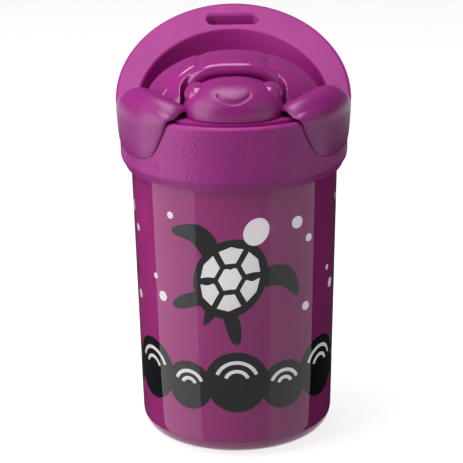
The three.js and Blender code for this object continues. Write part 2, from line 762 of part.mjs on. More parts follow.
// Pillow-shaped paddle that drapes over the collar's lip, cut clear of the shell and the head.
function flipper(side) {
  const knots = flipperOutline.map(([a, s]) => new THREE.Vector3(a, 100 * s, 0));
  const edge = new THREE.CatmullRomCurve3(knots, true, "centripetal").getPoints(40).slice(0, 40);
  const centre = new THREE.Vector3(flipperMiddle[0], 100 * flipperMiddle[1], 0);
  const shares = [1, 0.95, 0.82, 0.6, 0.3];
  const place = (p, thickness) => {
    const path = flipperPath(p.x);
    const t = THREE.MathUtils.clamp(p.y / 100, 0, 1);
    const at = path.getPoint(t);
    const along = path.getTangent(t);
    const [r, z] = [at.x - along.y * thickness, at.y + along.x * thickness];
    const a = THREE.MathUtils.degToRad(p.x);
    return [side * r * Math.sin(a), -r * Math.cos(a), z];
  };
  // Thickness falls to nothing at the edge, and is less on the collar's side than on the crest.
  const thicknessAt = (p, share) =>
    flipperThickness * (1.5 - 0.75 * THREE.MathUtils.smoothstep(p.y, 35, 75)) *
    Math.sqrt(1 - share ** 5);
  const along = (share) => edge.map((p) => centre.clone().lerp(p, share));
  const top = shares.map((share) => along(share).map((p) => place(p, thicknessAt(p, share))));
  const under = shares.map((share) => along(share).map((p) => place(p, 0)));
  const poles = [place(centre, thicknessAt(centre, 0)), place(centre, 0)];
  const position = [...top.flat(), ...under.flat(), ...poles];
  const n = edge.length;
  const index = [];
  [top, under].forEach((rows, face) => {
    const base = face * shares.length * n;
    const push = (a, b, c) => index.push(...(face ? [a, c, b] : [a, b, c]));
    for (let k = 0; k < n; k++) {
      const next = (k + 1) % n;
      for (let j = 0; j + 1 < rows.length; j++) {
        const [a, b] = [base + j * n + k, base + j * n + next];
        push(a, b, b + n);
        push(a, b + n, a + n);
      }
      const row = base + (rows.length - 1) * n;
      push(row + k, row + next, 2 * shares.length * n + face);
    }
  });
  const geometry = new THREE.BufferGeometry();
  geometry.setAttribute("position", new THREE.Float32BufferAttribute(position.flat(), 3));
  return solidOf(geometry.setIndex(index))
    .subtract(dome(gap))
    .subtract(archRidge(gap))
    .subtract(headBlank(gap));
}

// ---------- assembly ----------

const pieces = [
  ["outer_shell", outerShell(), tintedClear],
  ["inner_cup", innerCup(), deepPurple],
  ["base_cap", baseCap(), deepPurple],
  ["vent_pin", ventPin(), deepPurple],
  ["vent_tip", ventTip(), silicone],
  ["grip_pad", gripPad(), greyRubber],
  ["pad_carrier", padCarrier(), deepPurple],
  ["stem_clip", stemClip(), steel],
  ["release_spring", releaseSpring(), steel],
  ["seal_ring", sealRing(), silicone],
  ["collar", collar(), softPurple],
  ["lid_deck", lidDeck(), deepPurple],
  ["spout", spout(), silicone],
  ["valve_cup", valveCup(), deepPurple],
  ["valve_membrane", valveMembrane(), silicone],
  ["air_vent", airVent(), silicone],
  ["hinge_pin", hingeRod(pinRadius, -pinHalfLength, pinHalfLength), steel],
  ["cap_liner", capLiner(), softPurple],
  ["turtle_shell", turtleShell(), glossPurple],
  ["turtle_head", turtleHead(), softPurple],
  ["left_eye", eye(1), glossPurple],
  ["right_eye", eye(-1), glossPurple],
  ["left_flipper", flipper(1), softPurple],
  ["right_flipper", flipper(-1), softPurple],
  ["spout_plug", spoutPlug(), silicone],
];

const sippyCup = new THREE.Group();
for (const [name, solid, finish] of pieces) {
  const mesh = new THREE.Mesh(geometryOf(solid), finish);
  mesh.name = name;
  sippyCup.add(mesh);
}

export default sippyCup;
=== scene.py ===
import math
import random
import bpy
import bmesh
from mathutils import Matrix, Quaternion, Vector
from mathutils.geometry import delaunay_2d_cdt


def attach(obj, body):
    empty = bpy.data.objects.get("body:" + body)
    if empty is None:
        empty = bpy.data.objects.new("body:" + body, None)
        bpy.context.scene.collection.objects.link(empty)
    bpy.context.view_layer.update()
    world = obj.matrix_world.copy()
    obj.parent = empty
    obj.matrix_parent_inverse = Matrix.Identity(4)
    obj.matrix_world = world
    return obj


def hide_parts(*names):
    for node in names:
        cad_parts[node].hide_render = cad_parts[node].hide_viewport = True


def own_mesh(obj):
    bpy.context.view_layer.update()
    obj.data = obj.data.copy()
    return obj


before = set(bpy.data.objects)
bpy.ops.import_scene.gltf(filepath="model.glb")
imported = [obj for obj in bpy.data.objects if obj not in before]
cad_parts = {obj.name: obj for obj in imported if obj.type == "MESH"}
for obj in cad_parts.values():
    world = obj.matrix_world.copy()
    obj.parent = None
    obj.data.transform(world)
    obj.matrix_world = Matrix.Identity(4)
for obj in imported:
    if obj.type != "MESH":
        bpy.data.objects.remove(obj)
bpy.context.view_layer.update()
mm = 0.001
print("cad nodes loaded:", len(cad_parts))

# camera and light

cameraSetup = {
    "distance": 0.9, "elevation": 18.34, "roll": -0.70, "target": (0.0, 0.0, 0.070),
    "lens": 188.36, "shiftX": -0.0082, "shiftY": 0.0351,
}


def placeCamera():
    data = bpy.data.cameras.new("cupCamera")
    data.sensor_width = 36.0
    data.lens = cameraSetup["lens"]
    data.shift_x = cameraSetup["shiftX"]
    data.shift_y = cameraSetup["shiftY"]
    camera = bpy.data.objects.new("cupCamera", data)
    bpy.context.scene.collection.objects.link(camera)
    e = math.radians(cameraSetup["elevation"])
    target = Vector(cameraSetup["target"])
    camera.location = target + cameraSetup["distance"] * Vector((0, -math.cos(e), math.sin(e)))
    camera.rotation_mode = "QUATERNION"
    look = (target - camera.location).to_track_quat("-Z", "Y")
    turn = Quaternion((0, 0, 1), math.radians(cameraSetup["roll"]))
    camera.rotation_quaternion = look @ turn
    bpy.context.scene.camera = camera


def softbox(name, place, aim, width, height, power, tint=(1, 1, 1)):
    data = bpy.data.lights.new(name, "AREA")
    data.shape = "RECTANGLE"
    data.size = width
    data.size_y = height
    data.energy = power
    data.color = tint
    light = bpy.data.objects.new(name, data)
    light.visible_camera = False
    light.location = place
    light.rotation_mode = "QUATERNION"
    light.rotation_quaternion = (Vector(aim) - Vector(place)).to_track_quat("-Z", "Y")
    bpy.context.scene.collection.objects.link(light)


def around(degrees, reach, height):  # a place round the cup, counted from the camera's side
    a = math.radians(degrees)
    return (reach * math.sin(a), -reach * math.cos(a), height)


placeCamera()
softbox("leftSoftbox", around(-66, 0.60, 0.26), (0, 0, 0.09), 0.62, 0.95, 4.7)
softbox("rightSoftbox", around(60, 0.62, 0.22), (0, 0, 0.07), 0.68, 0.95, 0.9)
softbox("overheadSoftbox", (-0.10, 0.02, 0.80), (0, 0, 0.12), 0.55, 0.40, 3.2)
world = bpy.data.worlds.new("paleStudio")
world.use_nodes = True
world.node_tree.nodes["Background"].inputs["Color"].default_value = (0.93, 0.95, 1.0, 1)
world.node_tree.nodes["Background"].inputs["Strength"].default_value = 0.10
bpy.context.scene.world = world
bpy.context.scene.view_settings.view_transform = "Standard"

# finishes

collarPlum = (0.42, 0.022, 0.275)
capPlum = (0.38, 0.024, 0.245)
bodyPlum = (0.62, 0.055, 0.36)


def newFinish(name, color, roughness, **sockets):
    finish = bpy.data.materials.new(name)
    finish.use_nodes = True
    shader = finish.node_tree.nodes["Principled BSDF"]
    shader.inputs["Base Color"].default_value = (*color, 1)
    shader.inputs["Roughness"].default_value = roughness
    for socket, value in sockets.items():
        shader.inputs[socket.replace("_", " ")].default_value = value
    return finish


def addNode(finish, kind, **values):
    node = finish.node_tree.nodes.new(kind)
    for socket, value in values.items():
        node.inputs[socket.replace("_", " ")].default_value = value
    return node


def mottle(finish, color, spread, scale):  # slight unevenness of the pigment
    tree = finish.node_tree
    place = tree.nodes.new("ShaderNodeTexCoord")
    cloud = addNode(finish, "ShaderNodeTexNoise", Scale=scale, Detail=3.0, Roughness=0.6)
    ramp = tree.nodes.new("ShaderNodeValToRGB")
    ramp.color_ramp.elements[0].position = 0.3
    ramp.color_ramp.elements[1].position = 0.7
    for element, gain in zip(ramp.color_ramp.elements, (1 - spread, 1 + spread)):
        element.color = (*[min(1, c * gain) for c in color], 1)
    tree.links.new(place.outputs["Object"], cloud.inputs["Vector"])
    tree.links.new(cloud.outputs["Fac"], ramp.inputs["Fac"])
    tree.links.new(ramp.outputs["Color"], tree.nodes["Principled BSDF"].inputs["Base Color"])


def grain(finish, scale, height, strength, detail=4.0, rough=None):
    # fine relief on the surface, and gloss that varies with it
    tree = finish.node_tree
    shader = tree.nodes["Principled BSDF"]
    place = tree.nodes.new("ShaderNodeTexCoord")
    noise = addNode(finish, "ShaderNodeTexNoise", Scale=scale, Detail=detail, Roughness=0.55)
    bump = addNode(finish, "ShaderNodeBump", Strength=strength, Distance=height)
    tree.links.new(place.outputs["Object"], noise.inputs["Vector"])
    tree.links.new(noise.outputs["Fac"], bump.inputs["Height"])
    tree.links.new(bump.outputs["Normal"], shader.inputs["Normal"])
    if rough:
        slow = addNode(finish, "ShaderNodeTexNoise", Scale=90.0, Detail=2.0, Roughness=0.5)
        spread = addNode(finish, "ShaderNodeMapRange", To_Min=rough[0], To_Max=rough[1])
        tree.links.new(place.outputs["Object"], slow.inputs["Vector"])
        tree.links.new(slow.outputs["Fac"], spread.inputs["Value"])
        tree.links.new(spread.outputs["Result"], shader.inputs["Roughness"])


deepColor = (0.24, 0.018, 0.14)
siliconeColor = (0.72, 0.60, 0.70)
rubberColor = (0.028, 0.026, 0.030)
# painted shade: the head and flippers are the collar's plum moulding, coloured at 0.8 times the
# collar's plum
shadedCollarPlum = tuple(0.80 * c for c in collarPlum)
# key, name, colour, roughness, more sockets, mottling (colour, amount, scale) and grain
finishTable = [
    ("plumCoat", "plumCoat", bodyPlum, 0.5, {"Specular_IOR_Level": 0.05},
     (bodyPlum, 0.05, 16.0), (300.0, 0.00002, 0.05), {"detail": 1.0}),
    ("satinCollar", "satinCollarPlastic", collarPlum, 0.45, {"Specular_IOR_Level": 0.32},
     (collarPlum, 0.05, 55.0), (2600.0, 0.00004, 0.35), {"rough": (0.38, 0.47)}),
    ("glossCap", "glossCapPlastic", capPlum, 0.18, {"Coat_Weight": 0.4, "Coat_Roughness": 0.08},
     (capPlum, 0.07, 40.0), (420.0, 0.00004, 0.12), {"detail": 2.0, "rough": (0.12, 0.18)}),
    ("satinHead", "satinHeadPlastic", collarPlum, 0.34, {"Specular_IOR_Level": 0.5},
     (shadedCollarPlum, 0.05, 50.0), (1900.0, 0.00003, 0.25), {"rough": (0.30, 0.38)}),
    ("clearWall", "clearWall", (0.97, 0.94, 0.97), 0.0, {"IOR": 1.47, "Transmission_Weight": 1.0},
     None, (160.0, 0.00003, 0.05), {"detail": 1.0}),
    ("innerWall", "plumInnerWall", bodyPlum, 0.30, {"Coat_Weight": 0.25, "Coat_Roughness": 0.05},
     (bodyPlum, 0.04, 18.0), (240.0, 0.00004, 0.06), {"detail": 1.0, "rough": (0.26, 0.34)}),
    ("deepPlum", "deepPlumPlastic", deepColor, 0.38, {},
     (deepColor, 0.06, 60.0), (2000.0, 0.00004, 0.3), {"rough": (0.34, 0.44)}),
    ("silicone", "paleSilicone", siliconeColor, 0.45,
     {"Subsurface_Weight": 0.25, "Subsurface_Scale": 0.004},
     (siliconeColor, 0.04, 70.0), (900.0, 0.00004, 0.25), {"rough": (0.40, 0.52)}),
    ("gripRubber", "gripRubber", rubberColor, 0.62, {},
     (rubberColor, 0.15, 80.0), (1600.0, 0.0001, 0.5), {"rough": (0.55, 0.70)}),
    ("steel", "springSteel", (0.62, 0.63, 0.65), 0.28, {"Metallic": 1.0},
     None, (700.0, 0.00003, 0.3), {"rough": (0.22, 0.36)}),
]


def makeFinishes():
    made = {}
    for key, name, color, roughness, sockets, spots, bumps, more in finishTable:
        made[key] = newFinish(name, color, roughness, **sockets)
        if spots:
            mottle(made[key], *spots)
        grain(made[key], *bumps, **more)
    # painted light: the white ink glows at 0.30, so the print reads brighter than its own colour
    inks = (("Black", (0.012, 0.012, 0.014), 0.0), ("White", (0.95, 0.95, 0.97), 0.30))
    for name, color, glow in inks:
        ink = newFinish("print" + name, color, 0.5, Specular_IOR_Level=0.05,
                        Emission_Color=(1, 1, 1, 1), Emission_Strength=glow)
        mottle(ink, color, 0.05, 120.0)
        made["print" + name] = ink
    return made


finishes = makeFinishes()

# mesh helpers


def meshPiece(name, verts, faces, finish, scale=mm):
    mesh = bpy.data.meshes.new(name)
    mesh.from_pydata([tuple(scale * c for c in v) for v in verts], [], faces)
    mesh.validate()
    mesh.polygons.foreach_set("use_smooth", [True] * len(mesh.polygons))
    mesh.materials.append(finish)
    piece = bpy.data.objects.new(name, mesh)
    bpy.context.scene.collection.objects.link(piece)
    return piece


def faceOut(piece):
    form = bmesh.new()
    form.from_mesh(piece.data)
    bmesh.ops.remove_doubles(form, verts=form.verts, dist=1e-7)
    bmesh.ops.recalc_face_normals(form, faces=form.faces)
    form.to_mesh(piece.data)
    form.free()
    return piece


def keepSharp(piece, degrees=32):  # creases stay crisp, the rest shades smoothly
    form = bmesh.new()
    form.from_mesh(piece.data)
    for edge in form.edges:
        edge.smooth = len(edge.link_faces) == 2 and edge.calc_face_angle() < math.radians(degrees)
    form.to_mesh(piece.data)
    form.free()
    even = piece.modifiers.new("evenNormals", "WEIGHTED_NORMAL")
    even.keep_sharp = True
    return piece


def settle(piece):  # modifiers into the mesh
    view = bpy.context.evaluated_depsgraph_get()
    mesh = bpy.data.meshes.new_from_object(piece.evaluated_get(view))
    piece.modifiers.clear()
    piece.data = mesh
    return piece


def roundOff(outline, radius, steps=4, closed=True):
    # each corner of an outline becomes an arc, as wide as its two edges allow
    points = [Vector(p) for p in outline]
    count = len(points)
    rounded = []
    for i, point in enumerate(points):
        if not closed and i in (0, count - 1):
            rounded.append(point)
            continue
        before = points[i - 1] - point
        after = points[(i + 1) % count] - point
        angle = before.angle(after, math.pi)
        if angle > math.radians(165) or before.length < 1e-6 or after.length < 1e-6:
            rounded.append(point)
            continue
        reach = min(radius / math.tan(angle / 2), before.length * 0.45, after.length * 0.45)
        start = point + before.normalized() * reach
        end = point + after.normalized() * reach
        for k in range(steps + 1):
            t = k / steps
            rounded.append((1 - t) ** 2 * start + 2 * t * (1 - t) * point + t ** 2 * end)
    return [tuple(p) for p in rounded]


def arcOf(r, z, radius, start, end, steps):
    turns = [math.radians(start + (end - start) * i / steps) for i in range(steps + 1)]
    return [(r + radius * math.cos(a), z + radius * math.sin(a)) for a in turns]


def ringFaces(rows, count, base=0, closed=False):
    # quads between rings of points that lie one after another
    faces = []
    for j in range(rows if closed else rows - 1):
        low, high = base + j * count, base + ((j + 1) % rows) * count
        for k in range(count):
            n = (k + 1) % count
            faces.append((low + k, low + n, high + n, high + k))
    return faces


def curveAt(p0, p1, p2, p3, t):  # a smooth curve from p1 to p2, with its neighbours' help
    return 0.5 * (2 * p1 + (p2 - p0) * t + (2 * p0 - 5 * p1 + 4 * p2 - p3) * t * t
                  + (3 * p1 - p0 - 3 * p2 + p3) * t ** 3)


def lathe(name, outline, finish, sides=160, flat=1.0, middleY=0.0):
    # a turned ring or solid; an outline that starts and ends on the axis closes there
    onAxis = outline[0][0] < 1e-6 and outline[-1][0] < 1e-6
    verts = []
    for r, z in outline:
        for k in range(sides):
            a = 2 * math.pi * k / sides
            verts.append((r * math.cos(a), flat * r * math.sin(a) + middleY, z))
    faces = ringFaces(len(outline), sides, closed=not onAxis)
    return keepSharp(faceOut(meshPiece(name, verts, faces, finish)))


def shellBetween(name, outer, inner, finish, around=96, down=40):
    # a bowl-like wall: outer(u, v) and inner(u, v) give its faces, v runs from pole to rim
    verts, faces = [], []
    layers = []
    for face in (outer, inner):
        rows = []
        for j in range(down + 1):
            start = len(verts)
            if j == 0:
                verts.append(face(0.0, 0.0))
                rows.append([start] * around)
            else:
                for k in range(around):
                    verts.append(face(k / around, j / down))
                rows.append([start + k for k in range(around)])
        layers.append(rows)
        for j in range(down):
            for k in range(around):
                n = (k + 1) % around
                quad = [rows[j][k], rows[j + 1][k], rows[j + 1][n], rows[j][n]]
                faces.append(tuple(dict.fromkeys(quad)))
    top, under = layers[0][down], layers[1][down]
    for k in range(around):
        n = (k + 1) % around
        faces.append((top[k], under[k], under[n], top[n]))
    return keepSharp(faceOut(meshPiece(name, verts, faces, finish)), 50)


def onBody(piece, body, slot, *nodes):
    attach(piece, body)
    if nodes:
        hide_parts(*nodes)
    return piece


# geometry node trees


def newTree(name, sizes, integers=()):
    tree = bpy.data.node_groups.new(name, "GeometryNodeTree")
    tree.interface.new_socket("Geometry", in_out="INPUT", socket_type="NodeSocketGeometry")
    for size, value in sizes.items():
        kind = "NodeSocketInt" if size in integers else "NodeSocketFloat"
        socket = tree.interface.new_socket(size, in_out="INPUT", socket_type=kind)
        socket.default_value = value
    tree.interface.new_socket("Finish", in_out="INPUT", socket_type="NodeSocketMaterial")
    tree.interface.new_socket("Geometry", in_out="OUTPUT", socket_type="NodeSocketGeometry")
    return tree


def treeNode(tree, kind, settings=None, **links):
    node = tree.nodes.new(kind)
    for key, value in (settings or {}).items():
        setattr(node, key, value)
    for socket, source in links.items():
        byPlace = socket[0] == "i" and socket[1:].isdigit()
        key = int(socket[1:]) if byPlace else socket.replace("_", " ")
        if isinstance(source, bpy.types.NodeSocket):
            tree.links.new(source, node.inputs[key])
        else:
            node.inputs[key].default_value = source
    return node


def math2(tree, operation, a, b=0.0):
    return treeNode(tree, "ShaderNodeMath", {"operation": operation}, i0=a, i1=b).outputs[0]


def endTree(tree, start, geometry):
    real = treeNode(tree, "GeometryNodeRealizeInstances", Geometry=geometry)
    return endRealized(tree, start, real.outputs[0])


def endRealized(tree, start, geometry):
    smooth = treeNode(tree, "GeometryNodeSetShadeSmooth", Geometry=geometry)
    paint = treeNode(tree, "GeometryNodeSetMaterial", Geometry=smooth.outputs[0],
                     Material=start.outputs["Finish"])
    finish = tree.nodes.new("NodeGroupOutput")
    tree.links.new(paint.outputs[0], finish.inputs[0])
    return tree


def growTree(name, tree, values, finish, points=((0, 0, 0),), facts=None):
    # runs a tree on loose points that carry their own facts, and keeps the plain mesh
    mesh = bpy.data.meshes.new(name)
    mesh.from_pydata([tuple(p) for p in points], [], [])
    for fact, numbers in (facts or {}).items():
        mesh.attributes.new(fact, "FLOAT", "POINT").data.foreach_set("value", numbers)
    piece = bpy.data.objects.new(name, mesh)
    bpy.context.scene.collection.objects.link(piece)
    grow = piece.modifiers.new("grow", "NODES")
    grow.node_group = tree
    keys = {s.name: s.identifier for s in tree.interface.items_tree if s.in_out == "INPUT"}
    for size, value in values.items():
        grow[keys[size]] = value
    grow[keys["Finish"]] = finish
    settle(piece)
    return faceOut(piece)


def threadTree():
    # a tapered rib wound on a helix, repeated for each start of the screw
    tree = newTree("threadRibs", {
        "Radius": 0.0375, "Lead": 0.015, "Turns": 0.29, "Foot": 0.110, "Wire": 0.0009,
        "Starts": 3}, integers=("Starts",))
    start = tree.nodes.new("NodeGroupInput")
    get = start.outputs
    helix = treeNode(
        tree, "GeometryNodeCurveSpiral", Resolution=200, Rotations=get["Turns"],
        Start_Radius=get["Radius"], End_Radius=get["Radius"],
        Height=math2(tree, "MULTIPLY", get["Turns"], get["Lead"]))
    along = tree.nodes.new("GeometryNodeSplineParameter").outputs["Factor"]
    middle = math2(tree, "ABSOLUTE", math2(tree, "SUBTRACT", along, 0.5))
    toEnd = math2(tree, "SUBTRACT", 0.5, middle)
    taper = math2(tree, "MINIMUM", math2(tree, "MULTIPLY", toEnd, 9.0), 1.0)
    ring = treeNode(tree, "GeometryNodeCurvePrimitiveCircle", Resolution=8, Radius=get["Wire"])
    rib = treeNode(
        tree, "GeometryNodeCurveToMesh", Curve=helix.outputs[0], Profile_Curve=ring.outputs[0],
        Scale=math2(tree, "ADD", taper, 0.05), Fill_Caps=True)
    lift = treeNode(tree, "ShaderNodeCombineXYZ", Z=get["Foot"]).outputs[0]
    raised = treeNode(tree, "GeometryNodeTransform", Geometry=rib.outputs[0], Translation=lift)
    spots = treeNode(tree, "GeometryNodeMeshLine", Count=get["Starts"], Offset=(0, 0, 0))
    index = tree.nodes.new("GeometryNodeInputIndex").outputs[0]
    step = math2(tree, "DIVIDE", 2 * math.pi, get["Starts"])
    turn = treeNode(tree, "ShaderNodeCombineXYZ", Z=math2(tree, "MULTIPLY", index, step)).outputs[0]
    copies = treeNode(
        tree, "GeometryNodeInstanceOnPoints", Points=spots.outputs[0], Instance=raised.outputs[0],
        Rotation=turn)
    return endTree(tree, start, copies.outputs[0])


def spiralTree(name, reverse):
    # spirals set on points of an unrolled wall, then wrapped round the cone of that wall
    tree = newTree(name, {
        "Turns": 2.2, "Inner": 0.12, "Wire": 0.07, "Thin end": 0.35, "Flatten": 1.0,
        "Wall": 0.0414, "Lift": 0.0})
    start = tree.nodes.new("NodeGroupInput")
    get = start.outputs
    spiral = treeNode(
        tree, "GeometryNodeCurveSpiral", Resolution=34, Rotations=get["Turns"],
        Start_Radius=get["Inner"], End_Radius=1.0, Height=0.0, Reverse=reverse)
    along = tree.nodes.new("GeometryNodeSplineParameter").outputs["Factor"]
    thin = get["Thin end"]
    thicken = math2(tree, "MULTIPLY", along, math2(tree, "SUBTRACT", 1.0, thin))
    grown = math2(tree, "ADD", thin, thicken)
    toTip = math2(tree, "SUBTRACT", 1.02, along)
    tail = math2(tree, "MINIMUM", math2(tree, "MULTIPLY", toTip, 5.0), 1.0)
    ring = treeNode(tree, "GeometryNodeCurvePrimitiveCircle", Resolution=8, Radius=get["Wire"])
    wire = treeNode(
        tree, "GeometryNodeCurveToMesh", Curve=spiral.outputs[0], Profile_Curve=ring.outputs[0],
        Scale=math2(tree, "MULTIPLY", grown, tail), Fill_Caps=True)
    named, asFloat = "GeometryNodeInputNamedAttribute", {"data_type": "FLOAT"}
    size, spin = (treeNode(tree, named, asFloat, Name=n).outputs[0] for n in ("size", "spin"))
    copies = treeNode(
        tree, "GeometryNodeInstanceOnPoints", Points=get["Geometry"], Instance=wire.outputs[0],
        Rotation=treeNode(tree, "ShaderNodeCombineXYZ", Z=spin).outputs[0], Scale=size)
    real = treeNode(tree, "GeometryNodeRealizeInstances", Geometry=copies.outputs[0])
    at = tree.nodes.new("GeometryNodeInputPosition").outputs[0]
    apart = treeNode(tree, "ShaderNodeSeparateXYZ", Vector=at).outputs
    angle = math2(tree, "DIVIDE", apart[0], get["Wall"])
    reach = math2(tree, "ADD", math2(tree, "ADD", get["Wall"], get["Lift"]),
                  math2(tree, "MULTIPLY", apart[2], get["Flatten"]))
    x = math2(tree, "MULTIPLY", reach, math2(tree, "SINE", angle))
    y = math2(tree, "MULTIPLY", math2(tree, "MULTIPLY", reach, math2(tree, "COSINE", angle)), -1.0)
    wrapped = treeNode(tree, "ShaderNodeCombineXYZ", X=x, Y=y, Z=apart[1]).outputs[0]
    moved = treeNode(tree, "GeometryNodeSetPosition", Geometry=real.outputs[0], Position=wrapped)
    return endRealized(tree, start, moved.outputs[0])


threadForm = {"Lead": 0.015, "Wire": 0.0010, "Starts": 3}
neckThread = {"Radius": 0.0364, "Turns": 105 / 360, "Foot": 0.1102}
collarThread = {"Radius": 0.0383, "Turns": 95 / 360, "Foot": 0.1079}
threadRibs = threadTree()
leftSpirals = spiralTree("leftSpirals", False)
rightSpirals = spiralTree("rightSpirals", True)
print("finishes and trees made")

# tumbler

tumbler = {
    "coatSunk": 0.25, "coat": 0.15, "footZ": 0.6, "topZ": 105.5, "footR": 35.1, "topR": 37.8,
    "corner": 8.4, "wall": 1.7, "coatInset": 2.4, "neckLow": 112,
    "footHole": 25.5, "airGap": 1.2, "cupWall": 1.8, "cupFloor": 12.0, "cupCorner": 7.0,
    "neckR": 36.2, "mouthR": 33.2, "neckTop": 120.1, "sides": 192,
}


def shellRadius(z):
    share = z / tumbler["topZ"]
    return tumbler["footR"] + (tumbler["topR"] - tumbler["footR"]) * share


def cupRadius(z):  # outside of the inner cup
    return shellRadius(z) - tumbler["wall"] - tumbler["airGap"]


def printRadius(z):  # face of the coloured coat, which the print lies on
    return shellRadius(z) - tumbler["wall"] + tumbler["coatSunk"]


def makeTumbler():
    t = tumbler
    cornerZ = t["footZ"] + t["corner"]
    cornerR = shellRadius(cornerZ) - t["corner"]
    outline = [
        (t["footHole"], t["footZ"]),
        *arcOf(cornerR, cornerZ, t["corner"], -90, 0, 16),
        *[(shellRadius(z), z) for z in (30, 55, 80)],
        (t["topR"], t["topZ"]), (t["topR"] - t["wall"], t["topZ"]),
        *[(shellRadius(z) - t["wall"], z) for z in (80, 55, 30)],
        *arcOf(cornerR, cornerZ, t["corner"] - t["wall"], 0, -90, 14),
        (t["footHole"], t["footZ"] + t["wall"]),
    ]
    onBody(lathe("tumblerWall", outline, finishes["clearWall"], t["sides"]),
           "cup", "tinted_clear", "outer_shell")
    # a thin coloured coat, sunk into the clear wall's inner face, down to the foot
    outer = t["wall"] - t["coatSunk"]
    inner = outer + t["coat"]
    corner = [t["corner"] - outer, t["corner"] - inner]
    outline = [
        (t["footHole"] + t["coatInset"], t["footZ"] + outer),
        *arcOf(cornerR, cornerZ, corner[0], -90, 0, 16),
        (shellRadius(t["topZ"]) - outer, t["topZ"]), (shellRadius(t["topZ"]) - inner, t["topZ"]),
        *arcOf(cornerR, cornerZ, corner[1], 0, -90, 16),
        (t["footHole"] + t["coatInset"], t["footZ"] + inner),
    ]
    onBody(lathe("colourCoat", outline, finishes["plumCoat"], t["sides"]), "cup", "inner_plum")
    cornerZ = t["cupFloor"] + t["cupCorner"]
    cornerR = cupRadius(cornerZ) - t["cupCorner"]
    shoulder = t["topZ"] + 0.3
    outline = [
        (0, t["cupFloor"]),
        *arcOf(cornerR, cornerZ, t["cupCorner"], -90, 0, 12),
        *[(cupRadius(z), z) for z in (40, 60, 80)],
        (cupRadius(shoulder), shoulder), (t["topR"], shoulder), (t["topR"], shoulder + 1.3),
        (t["neckR"], shoulder + 1.9),
        *roundOff([(t["neckR"], t["neckLow"]), (t["neckR"], t["neckTop"]),
                   (t["mouthR"], t["neckTop"]), (t["mouthR"], t["neckLow"])], 0.9, closed=False),
        (cupRadius(shoulder) - t["cupWall"], shoulder - 4),
        *[(cupRadius(z) - t["cupWall"], z) for z in (80, 60, 40)],
        *arcOf(cornerR, cornerZ, t["cupCorner"] - t["cupWall"], 0, -90, 10),
        (0, t["cupFloor"] + t["cupWall"]),
    ]
    cup = lathe("innerCup", outline, finishes["innerWall"], t["sides"])
    ribs = {**threadForm, **neckThread}
    thread = growTree("neckThread", threadRibs, ribs, finishes["innerWall"])
    onBody(cup, "cup", "inner_plum", "inner_cup")
    onBody(thread, "cup", "inner_plum")


makeTumbler()
print("tumbler made")

# print on the coloured coat

printLayout = {"blackLift": 0.04, "whiteLift": 0.08, "cell": 1.6, "panels": 3, "middleZ": 55}


def smoothLoop(points, steps=8):  # closed curve through the points
    count = len(points)
    loop = []
    for i in range(count):
        p0, p1, p2, p3 = (Vector(points[(i + k - 1) % count]) for k in range(4))
        loop += [tuple(curveAt(p0, p1, p2, p3, k / steps)) for k in range(steps)]
    return loop


def ellipseLoop(x, z, a, b, tilt=0.0, steps=40):
    c, s = math.cos(math.radians(tilt)), math.sin(math.radians(tilt))
    turns = [2 * math.pi * k / steps for k in range(steps)]
    return [(x + a * math.cos(t) * c - b * math.sin(t) * s,
             z + a * math.cos(t) * s + b * math.sin(t) * c) for t in turns]


def inside(point, loop):
    x, z = point
    hit = False
    for (x1, z1), (x2, z2) in zip(loop, loop[1:] + loop[:1]):
        if (z1 > z) != (z2 > z) and x < (x2 - x1) * (z - z1) / (z2 - z1) + x1:
            hit = not hit
    return hit


def stickOn(loop, lift, shiftX=0.0):
    # fills a loop of the unrolled wall and wraps it round the coat
    cell = printLayout["cell"]
    xs, zs = [p[0] for p in loop], [p[1] for p in loop]
    fill = []
    x = min(xs) + cell / 2
    while x < max(xs):
        z = min(zs) + cell / 2
        while z < max(zs):
            if inside((x, z), loop):
                fill.append((x, z))
            z += cell
        x += cell
    points = [Vector(p) for p in loop + fill]
    edges = [(i, (i + 1) % len(loop)) for i in range(len(loop))]
    flat, _, faces, *_ = delaunay_2d_cdt(points, edges, [], 1, 1e-5)
    verts = []
    middle = printRadius(printLayout["middleZ"])
    for p in flat:
        a = (p.x + shiftX) / middle
        r = printRadius(p.y) + lift
        verts.append((r * math.sin(a), -r * math.cos(a), p.y))
    return verts, faces


def printInk(name, loops, lift, finish):
    verts, faces = [], []
    for loop, shiftX in loops:
        base = len(verts)
        more, tris = stickOn(loop, lift, shiftX)
        verts += more
        faces += [tuple(i + base for i in reversed(t)) for t in tris]
    piece = meshPiece(name, verts, faces, finish)
    form = bmesh.new()
    form.from_mesh(piece.data)
    for face in form.faces:
        out = face.calc_center_median() * Vector((1, 1, 0))
        if face.normal.dot(out) < 0:
            face.normal_flip()
    form.to_mesh(piece.data)
    form.free()
    return onBody(piece, "cup", "inner_plum")


# A plain turtle seen from above, the same on both sides of its middle line, with no face.
# Sizes are in millimetres on the unrolled wall, and the first number runs along its body.
turtleIcon = {
    "place": (-2.0, 70.0), "heading": 62, "scale": 1.25, "shell": (12.6, 10.2),
    "head": (16.0, 4.3, 3.5),
    "paddles": [
        [(6.4, 7.0), (9.6, 10.4), (10.0, 15.6), (5.4, 21.0), (3.0, 20.6), (4.2, 14.4), (2.0, 8.8)],
        [(-8.2, 5.6), (-11.4, 9.4), (-16.2, 11.6), (-17.0, 9.4), (-13.4, 5.4), (-10.6, 3.4)],
    ],
    "tail": [(-11.8, 1.6), (-16.6, 0.0), (-11.8, -1.6)],
    "plates": 6, "plateInner": 4.3, "plateOuter": 8.1, "plateHalf": 24, "middlePlate": 3.2,
    "stretch": 1.22,
}
bubbles = [  # x, z, radius
    (23.0, 89.0, 2.3), (28.5, 82.0, 1.5), (-29.0, 60.0, 1.9), (-32.5, 67.0, 1.1),
    (27.5, 56.0, 1.7), (-24.0, 92.0, 1.3),
]
scallops = {"each": 4, "sizes": [(30.0, 11.8, (8.4, 5.0)), (27.6, 9.4, (6.2, 3.4))],
            "band": 1.3, "from": 22, "to": 158}


